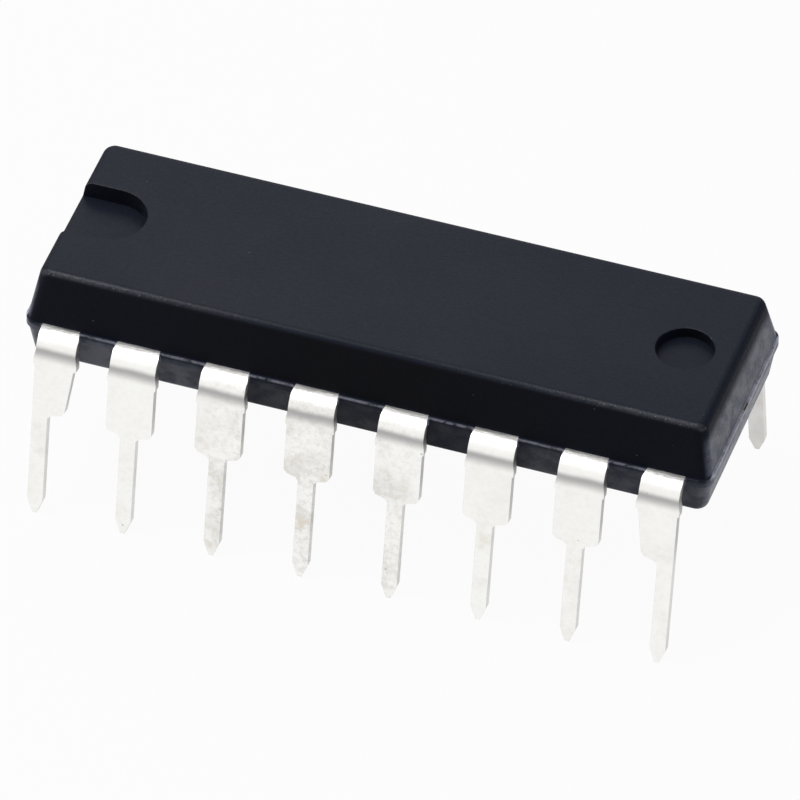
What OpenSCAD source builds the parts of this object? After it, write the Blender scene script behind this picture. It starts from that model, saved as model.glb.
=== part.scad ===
// Dual in-line integrated circuit: a moulded epoxy body on two rows of formed leads, with
// the lead frame, the die and its bond wires inside. Millimetres, standing on its lead tips:
// X runs along the body, with the orientation notch at -X, and Z is up.

/* [Moulded body] */
// Length of the body at the parting line
body_length = 19.4; // [18.9:0.1:19.8]
// Width of the body at the parting line
body_width = 6.26; // [6.1:0.02:6.6]
// Height of the upper mould half above the lead frame
upper_depth = 1.54; // [1.4:0.02:1.8]
// Depth of the lower mould half below the lead frame's top
lower_depth = 1.34; // [1.2:0.02:1.8]
// Draft of the upper half's long sides, in degrees
upper_draft = 13; // [8:0.5:16]
// Draft of the upper half's ends, in degrees
upper_end_draft = 10.5; // [8:0.5:16]
// Draft of the lower half's walls, in degrees
lower_draft = 8; // [5:0.5:14]
// Radius of the body's four upright corners
corner_radius = 0.34; // [0.3:0.01:0.45]
// Radius of the edge around the top face
top_edge_radius = 0.28; // [0.15:0.01:0.3]
// Radius of the edge around the underside
lower_edge_radius = 0.2; // [0.1:0.01:0.3]
// How far the parting strip stands out of the ends and corners
parting_ledge = 0.05; // [0.02:0.01:0.1]
// How far the resin webs between the leads stand out of the walls
web_reach = 0.12; // [0.08:0.01:0.18]
// Radius of the resin left in the corner between a web and a lead
web_fillet = 0.08; // [0.04:0.01:0.12]

/* [Orientation notch and ejector marks] */
// Radius of the notch's round inner end
notch_radius = 1; // [0.7:0.05:1.2]
// How far the notch reaches in from the end of the parting line
notch_reach = 2.35; // [2.1:0.05:2.8]
// Depth of the notch below the top face
notch_depth = 0.52; // [0.2:0.02:0.6]
// Radius of the round ejector mark on the top face
mark_radius = 0.8; // [0.5:0.05:1]
// Depth of the ejector mark on the top face
mark_depth = 0.32; // [0.1:0.02:0.4]
// Distance of the ejector marks' centres from the end of the parting line
mark_inset = 1.74; // [1.4:0.02:2.2]
// How far the top face's ejector mark sits off the middle, across the body
mark_shift = 0.06; // [-0.1:0.01:0.1]
// Depth of the two ejector marks on the underside
lower_mark_depth = 0.08; // [0.04:0.01:0.15]

/* [Leads] */
// How far the lead frame sits off the body's middle, along X
frame_shift = -0.07; // [-0.12:0.01:0.12]
// Distance between neighbouring leads
pitch = 2.54; // [2.4:0.01:2.6]
// Thickness of the lead frame
lead_thickness = 0.25; // [0.2:0.01:0.3]
// Width of a lead where it leaves the body
root_width = 1.22; // [1:0.02:1.28]
// Width of a lead at the foot of its bend
neck_width = 1.3; // [1.24:0.01:1.32]
// Width of a lead across the stubs of the trimmed dam bar
stub_width = 1.38; // [1.34:0.02:1.5]
// Width of a lead from the stubs down to its shoulders
shoulder_width = 1.3; // [1.1:0.02:1.32]
// Width of the narrow pin below the shoulders
pin_width = 0.44; // [0.36:0.02:0.56]
// Reach of an end lead's inner edge from the pin's centre, at the body
end_root_reach = 0.85; // [0.7:0.01:0.9]
// Reach of an end lead's inner edge at the foot of its bend
end_bend_reach = 0.91; // [0.85:0.01:0.93]
// Reach of an end lead's inner edge across its dam bar stub
end_stub_reach = 0.96; // [0.94:0.01:1.1]
// Sliver left on an end lead's outer edge by the trimmed dam bar
end_trim_burr = 0.05; // [0.02:0.01:0.08]
// Reach of an end lead's inner edge just below the stub
end_neck_reach = 0.88; // [0.8:0.01:0.9]
// Reach of an end lead's inner edge at its shoulder
end_shoulder_reach = 0.7; // [0.6:0.01:0.78]
// Flat run of a lead between the wall and its bend
lead_run = 0.01; // [0.01:0.01:0.3]
// Inside radius of a lead's bend
bend_radius = 0.32; // [0.2:0.01:0.4]
// Angle by which a lead splays outwards from upright
splay = 9.7; // [3:0.1:12]
// Length over which a lead widens from its bend to the dam bar stub
stub_flare = 0.28; // [0.1:0.02:0.3]
// Height of the step at the foot of the dam bar stub
stub_step = 0.05; // [0.02:0.01:0.08]
// Drop from the lead's top to the foot of the dam bar stub
stub_drop = 0.95; // [0.9:0.01:1.1]
// Drop from the lead's top to its shoulders
shoulder_drop = 2.22; // [1.8:0.02:2.6]
// Drop from the lead's top to the tips, on which the part stands
tip_drop = 5.7; // [5:0.05:6.2]
// Slope of a shoulder's underside, in degrees
shoulder_slope = 37; // [10:1:50]
// Length of a pin's pointed end
point_length = 0.42; // [0.2:0.02:0.6]
// Width left at the very tip of a pin
point_width = 0.12; // [0.08:0.01:0.2]
// Small radius at a lead's corners
lead_corner_radius = 0.09; // [0.04:0.01:0.12]

/* [Lead frame inside the body] */
// Depth of a lead's wide root inside the body
root_depth = 0.62; // [0.5:0.02:0.8]
// Width of a lead's inner finger
finger_width = 0.38; // [0.3:0.01:0.45]
// Radius of the mould-lock hole in a lead's root
lock_radius = 0.16; // [0.1:0.01:0.2]
// Half length of the die pad
pad_half_length = 2.5; // [2:0.05:2.7]
// Half width of the die pad
pad_half_width = 1.3; // [1.1:0.05:1.4]
// Gap between the die pad and the tips of the fingers
finger_gap = 0.3; // [0.25:0.01:0.4]
// How far the die pad lies below the level of the fingers
pad_downset = 0.3; // [0.1:0.01:0.4]
// Width of the two tie bars that hold the die pad
tie_width = 0.3; // [0.2:0.01:0.36]

/* [Die and bond wires] */
// Length of the silicon die
die_length = 2; // [1.6:0.05:2.4]
// Width of the silicon die
die_width = 1.6; // [1.3:0.05:1.9]
// Thickness of the silicon die
die_thickness = 0.28; // [0.2:0.01:0.35]
// Thickness of the die attach layer
attach_thickness = 0.03; // [0.02:0.005:0.05]
// Margin of the die attach layer around the die
attach_margin = 0.06; // [0.02:0.01:0.1]
// Diameter of a bond wire
wire_diameter = 0.033; // [0.025:0.001:0.05]
// Height of a wire's loop above the die
loop_height = 0.24; // [0.15:0.01:0.35]
// Inset of the bond pads from the die's edge
bond_inset = 0.12; // [0.08:0.01:0.2]

/* [Hidden] */
LEADS = 16;
PER_ROW = LEADS / 2;
PER_QUARTER = LEADS / 4;

// Levels, counted up from the lead tips
frame_top = tip_drop;
frame_base = frame_top - lead_thickness;
top_z = frame_top + upper_depth;
base_z = frame_top - lower_depth;
pad_top = frame_top - pad_downset;
die_top = pad_top + attach_thickness + die_thickness;

half_length = body_length / 2;
half_width = body_width / 2;

// The bend turns a lead from level to its splayed leg
outer_bend = bend_radius + lead_thickness;
bend_turn = 90 - splay;
bend_start = half_width + lead_run;
bend_tangent = outer_bend * tan(bend_turn / 2);
leg_top_y = bend_start + bend_tangent;
// Distance along the leg's outer face, from where its line meets the level of the lead's top
function along_leg(drop) = drop / cos(splay);
leg_start = bend_tangent;
// The inner corner of the tip is the lowest point, so the outer face ends a little higher
leg_end = along_leg(tip_drop - lead_thickness * sin(splay));

// Steps of the rounded rings that the moulding is lofted through
CORNER_STEPS = 6;
EDGE_STEPS = 6;
ROUND = 48;
FILLET_ROUND = 32;

function unit(v) = v / norm(v);
function left_of(v) = [-v[1], v[0]];

// Points of a rounded rectangle at one level
function ring(half_x, half_y, radius, z) = [
    for (corner = [0 : 3], step = [0 : CORNER_STEPS])
        let (
            angle = 90 * (corner + step / CORNER_STEPS),
            side_x = corner == 0 || corner == 3 ? 1 : -1,
            side_y = corner < 2 ? 1 : -1
        )
        [
            side_x * (half_x - radius) + radius * cos(angle),
            side_y * (half_y - radius) + radius * sin(angle),
            z
        ]
];

// Inset of the rounded edge's centre from the parting line
function edge_inset(depth, draft, edge) = (depth - edge) * tan(draft) + edge / cos(draft);

// Rings of one mould half: its drafted walls, then the rounded edge into its flat face.
// Each entry is [height above the parting level, end inset, side inset, corner radius].
function half_profile(depth, draft, end_draft, edge) = concat(
    [[0, 0, 0, corner_radius]],
    [
        for (step = [0 : EDGE_STEPS])
            let (angle = draft + (90 - draft) * step / EDGE_STEPS)
            [
                depth - edge + edge * sin(angle),
                edge_inset(depth, end_draft, edge) - edge * cos(angle),
                edge_inset(depth, draft, edge) - edge * cos(angle),
                corner_radius - edge * (cos(draft) - cos(angle))
            ]
    ]
);

module lofted(rings) {
    count = len(rings[0]);
    last = len(rings) - 1;
    points = [for (r = rings) each r];
    walls = [
        for (level = [0 : last - 1], i = [0 : count - 1])
            let (
                j = (i + 1) % count,
                low = level * count,
                high = low + count
            )
            [low + j, low + i, high + i, high + j]
    ];
    bottom = [[for (i = [0 : count - 1]) i]];
    top = [[for (i = [count - 1 : -1 : 0]) last * count + i]];
    polyhedron(points = points, faces = concat(bottom, walls, top));
}

// One mould half, growing up from z = 0
module mould_half(depth, draft, end_draft, edge) {
    lofted([
        for (entry = half_profile(depth, draft, end_draft, edge))
            ring(half_length - entry[1], half_width - entry[2], entry[3], entry[0])
    ]);
}

module rounded_rectangle(half_x, half_y, radius) {
    square([2 * (half_x - radius), 2 * half_y], center = true);
    square([2 * half_x, 2 * (half_y - radius)], center = true);
    for (side_x = [-1, 1], side_y = [-1, 1])
        translate([side_x * (half_x - radius), side_y * (half_y - radius)])
            circle(radius, $fn = ROUND);
}

// Strip of the moulding at the level of the lead frame, where the two mould halves met
module parting_strip() {
    translate([0, 0, frame_base])
        linear_extrude(lead_thickness)
            difference() {
                union() {
                    rounded_rectangle(
                        half_length + parting_ledge,
                        half_width + parting_ledge,
                        corner_radius + parting_ledge
                    );
                    webs();
                }
                for (n = [1 : LEADS])
                    placed(n)
                        lead_plan(quarter_column(n));
            }
}

// Plan of the webs along both walls, as far as the walls run straight
module webs() {
    intersection() {
        square(
            [body_length - 2 * corner_radius, body_width + 2 * (web_reach + web_fillet)],
            center = true
        );
        for (n = [1 : LEADS])
            placed(n)
                web(quarter_column(n));
    }
}

// Plan of the web from a lead to its neighbour on the middle side, with the resin that
// clings to both leads. The middle web is drawn from either side of the row's middle.
module web(column) {
    is_middle = column == PER_QUARTER - 1;
    next_reach = is_middle ? inner_reach(column) : outer_reach(column + 1);
    from = inner_reach(column);
    to = pitch - next_reach;
    translate([from, -half_width - web_reach])
        square([to - from, 2 * web_reach]);
    translate([from, -half_width - web_reach])
        clinging_resin();
    translate([to, -half_width - web_reach])
        mirror([1, 0])
            clinging_resin();
    if (is_end(column))
        translate([-outer_reach(column), -half_width - parting_ledge])
            mirror([1, 0])
                clinging_resin();
}

// Hollow fillet between the strip's face, along X, and a lead's side, along -Y
module clinging_resin() {
    difference() {
        translate([0, -web_fillet])
            square([web_fillet, web_fillet + parting_ledge]);
        translate([web_fillet, -web_fillet])
            circle(web_fillet, $fn = FILLET_ROUND);
    }
}

module notch() {
    translate([notch_reach - notch_radius - half_length, 0, top_z - notch_depth]) {
        cylinder(r = notch_radius, h = 2 * notch_depth, $fn = ROUND);
        translate([-notch_reach, -notch_radius, 0])
            cube([notch_reach, 2 * notch_radius, 2 * notch_depth]);
    }
}

module ejector_marks() {
    mark_x = half_length - mark_inset;
    translate([mark_x, mark_shift, top_z - mark_depth])
        cylinder(r = mark_radius, h = 2 * mark_depth, $fn = ROUND);
    for (side = [-1, 1])
        translate([side * mark_x, 0, base_z - lower_mark_depth])
            cylinder(r = mark_radius, h = 2 * lower_mark_depth, $fn = ROUND);
}

module moulding_outside() {
    translate([0, 0, frame_top])
        mould_half(upper_depth, upper_draft, upper_end_draft, top_edge_radius);
    parting_strip();
    translate([0, 0, frame_base])
        mirror([0, 0, 1])
            mould_half(lower_depth - lead_thickness, lower_draft, lower_draft, lower_edge_radius);
}

// Leads 1 to 8 run along the near row from the notch, and 9 to 16 back along the far row.
// The four quarters of the frame are alike, so a lead is drawn in the near quarter at the
// notch end, counted from the corner, and put in place by this module.
function quarter_column(n) =
    let (in_row = (n - 1) % PER_ROW) min(in_row, PER_ROW - 1 - in_row);
function is_mirrored(n) = (n - 1) % PER_ROW >= PER_QUARTER;
function column_x(column) = (column - (PER_ROW - 1) / 2) * pitch;

module placed(n) {
    translate([frame_shift, 0, 0])
        rotate([0, 0, n > PER_ROW ? 180 : 0])
            mirror([is_mirrored(n) ? 1 : 0, 0, 0])
                translate([column_x(quarter_column(n)), 0, 0])
                    children();
}

// Reach of a lead's root to the corner side and to the middle side of its pin's centre.
// An end lead is cut off flush with its pin on the corner side.
function is_end(column) = column == 0;
function outer_reach(column) = is_end(column) ? pin_width / 2 : root_width / 2;
function inner_reach(column) = is_end(column) ? end_root_reach : root_width / 2;

// One edge of a leg from its bend down to the tip, as [reach, distance down the leg]
function shoulder_edge(neck, shoulder) =
    let (
        rise = (shoulder - pin_width / 2) * tan(shoulder_slope),
        seat = along_leg(shoulder_drop)
    )
    [
        [neck, along_leg(stub_drop)],
        [shoulder, seat - lead_corner_radius],
        [shoulder - lead_corner_radius, seat + lead_corner_radius * tan(shoulder_slope)],
        [pin_width / 2 + lead_corner_radius, seat + rise - lead_corner_radius * tan(shoulder_slope)],
        [pin_width / 2, seat + rise + lead_corner_radius]
    ];
function straight_edge() = [[pin_width / 2, along_leg(stub_drop)]];
function point_edge() = [
    [pin_width / 2, leg_end - point_length],
    [point_width / 2, leg_end]
];
function leg_edge(neck, stub, body) = concat(
    [
        [neck, leg_start],
        [stub, leg_start + stub_flare],
        [stub, along_leg(stub_drop) - stub_step]
    ],
    body,
    point_edge()
);
function full_edge() =
    leg_edge(neck_width / 2, stub_width / 2, shoulder_edge(shoulder_width / 2, shoulder_width / 2));
function outer_leg(column) =
    is_end(column)
        ? leg_edge(pin_width / 2, pin_width / 2 + end_trim_burr, straight_edge())
        : full_edge();
function inner_leg(column) =
    is_end(column)
        ? leg_edge(end_bend_reach, end_stub_reach, shoulder_edge(end_neck_reach, end_shoulder_reach))
        : full_edge();
function reversed(list) = [for (i = [len(list) - 1 : -1 : 0]) list[i]];
function leg_outline(column) = concat(
    [for (p = outer_leg(column)) [-p[0], -p[1]]],
    [for (p = reversed(inner_leg(column))) [p[0], -p[1]]]
);

// The leg lies in its own plane, turned by the splay about the line where its outer face
// meets the level of the lead's top
module leg(column) {
    translate([0, -leg_top_y, frame_top])
        rotate([90 - splay, 0, 0])
            translate([0, 0, -lead_thickness])
                linear_extrude(lead_thickness)
                    polygon(leg_outline(column));
}

// The bend is a part turn about the line that its inside radius runs round, and widens as it
// goes from the lead's root to its neck
function outer_neck(column) = is_end(column) ? pin_width / 2 : neck_width / 2;
function inner_neck(column) = is_end(column) ? end_bend_reach : neck_width / 2;
module bend(column) {
    intersection() {
        translate([-outer_neck(column), -bend_start, frame_top - outer_bend])
            rotate([0, -90, 180])
                rotate_extrude(angle = bend_turn, $fn = ROUND)
                    translate([bend_radius, 0])
                        square([lead_thickness, outer_neck(column) + inner_neck(column)]);
        translate([0, 0, frame_top - 2 * outer_bend])
            linear_extrude(3 * outer_bend)
                lead_plan(column);
    }
}

// Plan of a lead from the wall to past its bend
module lead_plan(column) {
    foot_y = bend_start + bend_radius * sin(bend_turn);
    past_y = bend_start + 2 * outer_bend;
    polygon([
        [-outer_reach(column), -half_width],
        [-outer_reach(column), -bend_start],
        [-outer_neck(column), -foot_y],
        [-outer_neck(column), -past_y],
        [inner_neck(column), -past_y],
        [inner_neck(column), -foot_y],
        [inner_reach(column), -bend_start],
        [inner_reach(column), -half_width]
    ]);
}

// Outline of a strip of constant width along a route, with mitred turns
function strip_outline(route, width) =
    let (
        last = len(route) - 1,
        runs = [for (i = [0 : last - 1]) unit(route[i + 1] - route[i])],
        sides = [
            for (i = [0 : last])
                let (
                    before = left_of(runs[max(i - 1, 0)]),
                    after = left_of(runs[min(i, last - 1)])
                )
                (before + after) / (1 + before * after) * width / 2
        ]
    )
    concat(
        [for (i = [0 : last]) route[i] + sides[i]],
        [for (i = [last : -1 : 0]) route[i] - sides[i]]
    );

// Where each finger of the quarter ends beside the die pad, seen from the body's centre
OUTER_SHARE = 0.75;
INNER_SHARE = 0.25;
finger_row_y = -(pad_half_width + finger_gap);
finger_column_x = -(pad_half_length + finger_gap);
FINGER_SPACE = 0.26;
finger_pitch = finger_width + FINGER_SPACE;
first_finger_y = -(tie_width / 2 + FINGER_SPACE + finger_width / 2);
FINGER_TIPS = [
    [finger_column_x, first_finger_y],
    [finger_column_x, first_finger_y - finger_pitch],
    [-OUTER_SHARE * pad_half_length, finger_row_y],
    [-INNER_SHARE * pad_half_length, finger_row_y]
];
// Middle of a root across its width, from the pin's centre
function root_middle(column) = (inner_reach(column) - outer_reach(column)) / 2;
root_y = -(half_width - root_depth);

// Route of a finger from its root to its tip, in the body's own place
function finger_route(column) =
    let (
        root_x = column_x(column) + root_middle(column),
        tip = FINGER_TIPS[column],
        knee_y = root_y + finger_width / 2
    )
    tip[0] == finger_column_x
        ? [[root_x, root_y - lock_radius], [root_x, knee_y], [root_x + (tip[1] - knee_y), tip[1]], tip]
        : [[root_x, root_y - lock_radius], [root_x, knee_y], [tip[0], tip[1] - finger_width], tip];

module lead_root(column) {
    translate([-outer_reach(column), -bend_start])
        square([
            outer_reach(column) + inner_reach(column),
            bend_start + root_y
        ]);
}

module finger(column) {
    translate([-column_x(column), 0])
        polygon(strip_outline(finger_route(column), finger_width));
}

// The flat part of a lead, from its bend to the tip of its finger
module lead_flat(column) {
    translate([0, 0, frame_base])
        linear_extrude(lead_thickness)
            difference() {
                union() {
                    lead_root(column);
                    finger(column);
                }
                translate([root_middle(column), root_y - root_depth / 2])
                    circle(lock_radius, $fn = ROUND);
            }
}

module lead(n) {
    color("gainsboro")
        placed(n) {
            lead_flat(quarter_column(n));
            bend(quarter_column(n));
            leg(quarter_column(n));
        }
}

module die_pad() {
    color("silver")
        translate([frame_shift, 0, 0]) {
            translate([-pad_half_length, -pad_half_width, pad_top - lead_thickness])
                cube([2 * pad_half_length, 2 * pad_half_width, lead_thickness]);
            for (side = [-1, 1])
                mirror([side < 0 ? 1 : 0, 0, 0])
                    tie_bar(half_length + parting_ledge - side * frame_shift);
        }
}

// A tie bar runs from the body's end at the level of the fingers, then steps down to the pad
module tie_bar(reach) {
    middle = -lead_thickness / 2;
    rotate([90, 0, 0])
        linear_extrude(tie_width, center = true)
            polygon(strip_outline(
                [
                    [reach, frame_top + middle],
                    [pad_half_length + finger_gap + pad_downset, frame_top + middle],
                    [pad_half_length + finger_gap, pad_top + middle],
                    [pad_half_length / 2, pad_top + middle]
                ],
                lead_thickness
            ));
}

module die_attach() {
    color("dimgray")
        translate([frame_shift, 0, pad_top + attach_thickness / 2])
            cube(
                [die_length + 2 * attach_margin, die_width + 2 * attach_margin, attach_thickness],
                center = true
            );
}

module die() {
    color("slategray")
        translate([frame_shift, 0, die_top - die_thickness / 2])
            cube([die_length, die_width, die_thickness], center = true);
}

// A bond wire starts as a ball on the die, rises, loops over and lands flattened on a finger.
// Its route lies in the upright plane from its bond pad to its finger.
WIRE_SIDES = 8;
LOOP_STEPS = 7;
// Sizes of a wire's ends and loop, in wire diameters
BALL_WIDTH = 2.6;
BALL_HEIGHT = 0.6;
BALL_SHOULDER = 1;
NECK_HEIGHT = 2;
HEEL_LENGTH = 3;
STITCH_WIDTH = 1.9;
STITCH_HEIGHT = 0.35;
// Pull of the loop's curve, in loop heights, and where it turns down along the span
RISE_PULL = 1.5;
FALL_PULL = 1.3;
FALL_SHARE = 0.55;
bond_x = die_length / 2 - bond_inset;
bond_y = die_width / 2 - bond_inset;
BOND_PADS = [
    [-bond_x, -INNER_SHARE * bond_y],
    [-bond_x, -OUTER_SHARE * bond_y],
    [-OUTER_SHARE * bond_x, -bond_y],
    [-INNER_SHARE * bond_x, -bond_y]
];
LANDINGS = [
    FINGER_TIPS[0] - [finger_width / 2, 0],
    FINGER_TIPS[1] - [finger_width / 2, 0],
    FINGER_TIPS[2] - [0, finger_width / 2],
    FINGER_TIPS[3] - [0, finger_width / 2]
];

function bezier(a, b, c, d, t) =
    pow(1 - t, 3) * a + 3 * pow(1 - t, 2) * t * b + 3 * (1 - t) * t * t * c + pow(t, 3) * d;
function bezier_run(a, b, c, d, t) =
    unit((1 - t) * (1 - t) * (b - a) + 2 * (1 - t) * t * (c - b) + t * t * (d - c));

// Each station is [place, direction, half width, half height], place and direction being
// [along the plan, up from the finger's top]
function wire_stations(span, start_h) =
    let (
        radius = wire_diameter / 2,
        ball = radius * BALL_WIDTH,
        neck = [0, start_h + NECK_HEIGHT * wire_diameter],
        rise = [0, start_h + RISE_PULL * loop_height],
        fall = [FALL_SHARE * span, start_h + FALL_PULL * loop_height],
        heel = [span - HEEL_LENGTH * wire_diameter, radius],
        up = [0, 1],
        level = [1, 0]
    )
    concat(
        [
            [[0, start_h], up, ball, ball],
            [[0, start_h + BALL_HEIGHT * wire_diameter], up, ball, ball],
            [[0, start_h + BALL_SHOULDER * wire_diameter], up, radius, radius]
        ],
        [
            for (step = [0 : LOOP_STEPS - 1])
                let (t = step / LOOP_STEPS)
                [bezier(neck, rise, fall, heel, t), bezier_run(neck, rise, fall, heel, t), radius, radius]
        ],
        [
            [heel, level, radius, radius],
            [
                [span, radius * STITCH_HEIGHT],
                level,
                radius * STITCH_WIDTH,
                radius * STITCH_HEIGHT
            ]
        ]
    );

// A ring of the wire about a station, with flats below and above
function wire_ring(station) = [
    for (i = [0 : WIRE_SIDES - 1])
        let (
            angle = 360 * (i + 0.5) / WIRE_SIDES,
            to_flat = 1 / cos(180 / WIRE_SIDES),
            across = station[2] * to_flat * cos(angle),
            over = station[3] * to_flat * sin(angle),
            normal = [-station[1][1], station[1][0]]
        )
        [station[0][0] + over * normal[0], across, station[0][1] + over * normal[1]]
];

module bond_wire(n) {
    column = quarter_column(n);
    pad = BOND_PADS[column];
    run = LANDINGS[column] - pad;
    heading = atan2(run[1], run[0]);
    color("gold")
        placed(n)
            translate([pad[0] - column_x(column), pad[1], frame_top])
                rotate([0, 0, heading])
                    lofted([
                        for (station = wire_stations(norm(run), die_top - frame_top))
                            wire_ring(station)
                    ]);
}

// The space that the lead frame, die and wires take inside the moulding
module encapsulated() {
    die_pad();
    die_attach();
    die();
    for (n = [1 : LEADS]) {
        placed(n)
            lead_flat(quarter_column(n));
        bond_wire(n);
    }
}

module body() {
    color([0.14, 0.145, 0.16])
        difference() {
            moulding_outside();
            notch();
            ejector_marks();
            encapsulated();
        }
}

body();
die_pad();
die_attach();
die();
for (n = [1 : LEADS]) {
    lead(n);
    bond_wire(n);
}
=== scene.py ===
"""The looks of a moulded dual in-line integrated circuit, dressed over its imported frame.

Lengths in the classes are millimetres, as on a maker's drawing. MM turns them into the metres
that the frame uses. A Span is where a soft step starts and where it ends: of a length, of how far
the surface faces along an axis (those called turn), or of a noise (those called share).
"""

from __future__ import annotations

import logging
import math
from dataclasses import dataclass
from enum import Enum

import bmesh
import bpy
from mathutils import Matrix, Vector

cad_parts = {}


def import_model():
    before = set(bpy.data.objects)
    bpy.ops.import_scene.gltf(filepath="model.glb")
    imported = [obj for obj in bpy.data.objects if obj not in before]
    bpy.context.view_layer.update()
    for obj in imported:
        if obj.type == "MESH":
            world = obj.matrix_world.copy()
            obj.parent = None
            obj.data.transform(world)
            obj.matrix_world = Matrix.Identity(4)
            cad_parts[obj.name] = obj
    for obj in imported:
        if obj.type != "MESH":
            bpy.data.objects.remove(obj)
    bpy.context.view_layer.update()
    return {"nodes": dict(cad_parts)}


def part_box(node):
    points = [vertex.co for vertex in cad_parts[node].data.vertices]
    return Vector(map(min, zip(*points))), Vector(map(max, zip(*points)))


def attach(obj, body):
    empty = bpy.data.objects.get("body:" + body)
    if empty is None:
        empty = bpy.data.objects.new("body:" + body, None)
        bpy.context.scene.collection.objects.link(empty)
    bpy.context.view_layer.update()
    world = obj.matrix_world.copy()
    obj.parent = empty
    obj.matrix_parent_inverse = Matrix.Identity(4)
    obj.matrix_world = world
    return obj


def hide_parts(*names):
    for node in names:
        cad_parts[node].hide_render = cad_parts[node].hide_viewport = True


MM = 0.001
ROOT = "root"
# A lead's faces: 1 where the punch cut them, less on the inner faces, where it gives painted shade.
CUT_AND_SHADE = "cut"
FACING = "facing"
LOG = logging.getLogger("integrated_circuit")

# Sockets of a Mix node that mixes colours.
MIX_SHARE = 0
MIX_FIRST = 6
MIX_SECOND = 7
MIX_RESULT = 2

NOISE_MIDDLE = 0.5

# Points this near (in millimetres) are one, and faces that turn this little (in degrees) are flat.
WELD_DISTANCE = 1e-4
FLAT_ANGLE = 0.4

Triple = tuple[float, float, float]
Colour = Triple
Span = tuple[float, float]


class Slot(Enum):
    """Names of two material slots, for the body and the lead frame."""

    BODY = "body"
    LEAD_FRAME = "lead_frame"


class Value:
    """A number socket that takes part in Python expressions, adding Math nodes as it goes."""

    def __init__(self, shader: Shader, socket: bpy.types.NodeSocket) -> None:
        """Wraps a socket.

        Args:
            shader: the material that the socket's node belongs to.
            socket: the output socket.
        """
        self.shader = shader
        self.socket = socket

    def _with(self, operation: str, *terms: Value | float, clamp: bool = False) -> Value:
        """Adds one Math node.

        Args:
            operation: the Math node's operation.
            terms: its inputs in order, sockets or numbers.
            clamp: whether the result is held between 0 and 1.

        Returns:
            The node's result.
        """
        inputs = dict(enumerate(terms))
        settings = {"operation": operation, "use_clamp": clamp}
        return self.shader.value("ShaderNodeMath", settings, inputs)

    def __add__(self, other: Value | float) -> Value:
        """Sum."""
        return self._with("ADD", self, other)

    __radd__ = __add__

    def __sub__(self, other: Value | float) -> Value:
        """Difference."""
        return self._with("SUBTRACT", self, other)

    def __rsub__(self, other: float) -> Value:
        """Difference from a number."""
        return self._with("SUBTRACT", other, self)

    def __mul__(self, other: Value | float) -> Value:
        """Product."""
        return self._with("MULTIPLY", self, other)

    __rmul__ = __mul__

    def __truediv__(self, other: Value | float) -> Value:
        """Quotient."""
        return self._with("DIVIDE", self, other)

    def __rtruediv__(self, other: float) -> Value:
        """Quotient of a number."""
        return self._with("DIVIDE", other, self)

    def __neg__(self) -> Value:
        """Opposite."""
        return self._with("SUBTRACT", 0.0, self)

    def __abs__(self) -> Value:
        """Size without sign."""
        return self._with("ABSOLUTE", self)

    def swing(self) -> Value:
        """How far a noise is above or below its middle."""
        return self - NOISE_MIDDLE

    def held(self) -> Value:
        """This, kept between 0 and 1."""
        return self._with("ADD", self, 0.0, clamp=True)

    def between(self, low: float, high: float) -> Value:
        """A smooth step from 0 at low to 1 at high.

        Args:
            low: where the step starts.
            high: where it ends, which may be below low.

        Returns:
            The step.
        """
        share = ((self - low) / (high - low)).held()
        return share * share * (3.0 - 2.0 * share)


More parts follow.
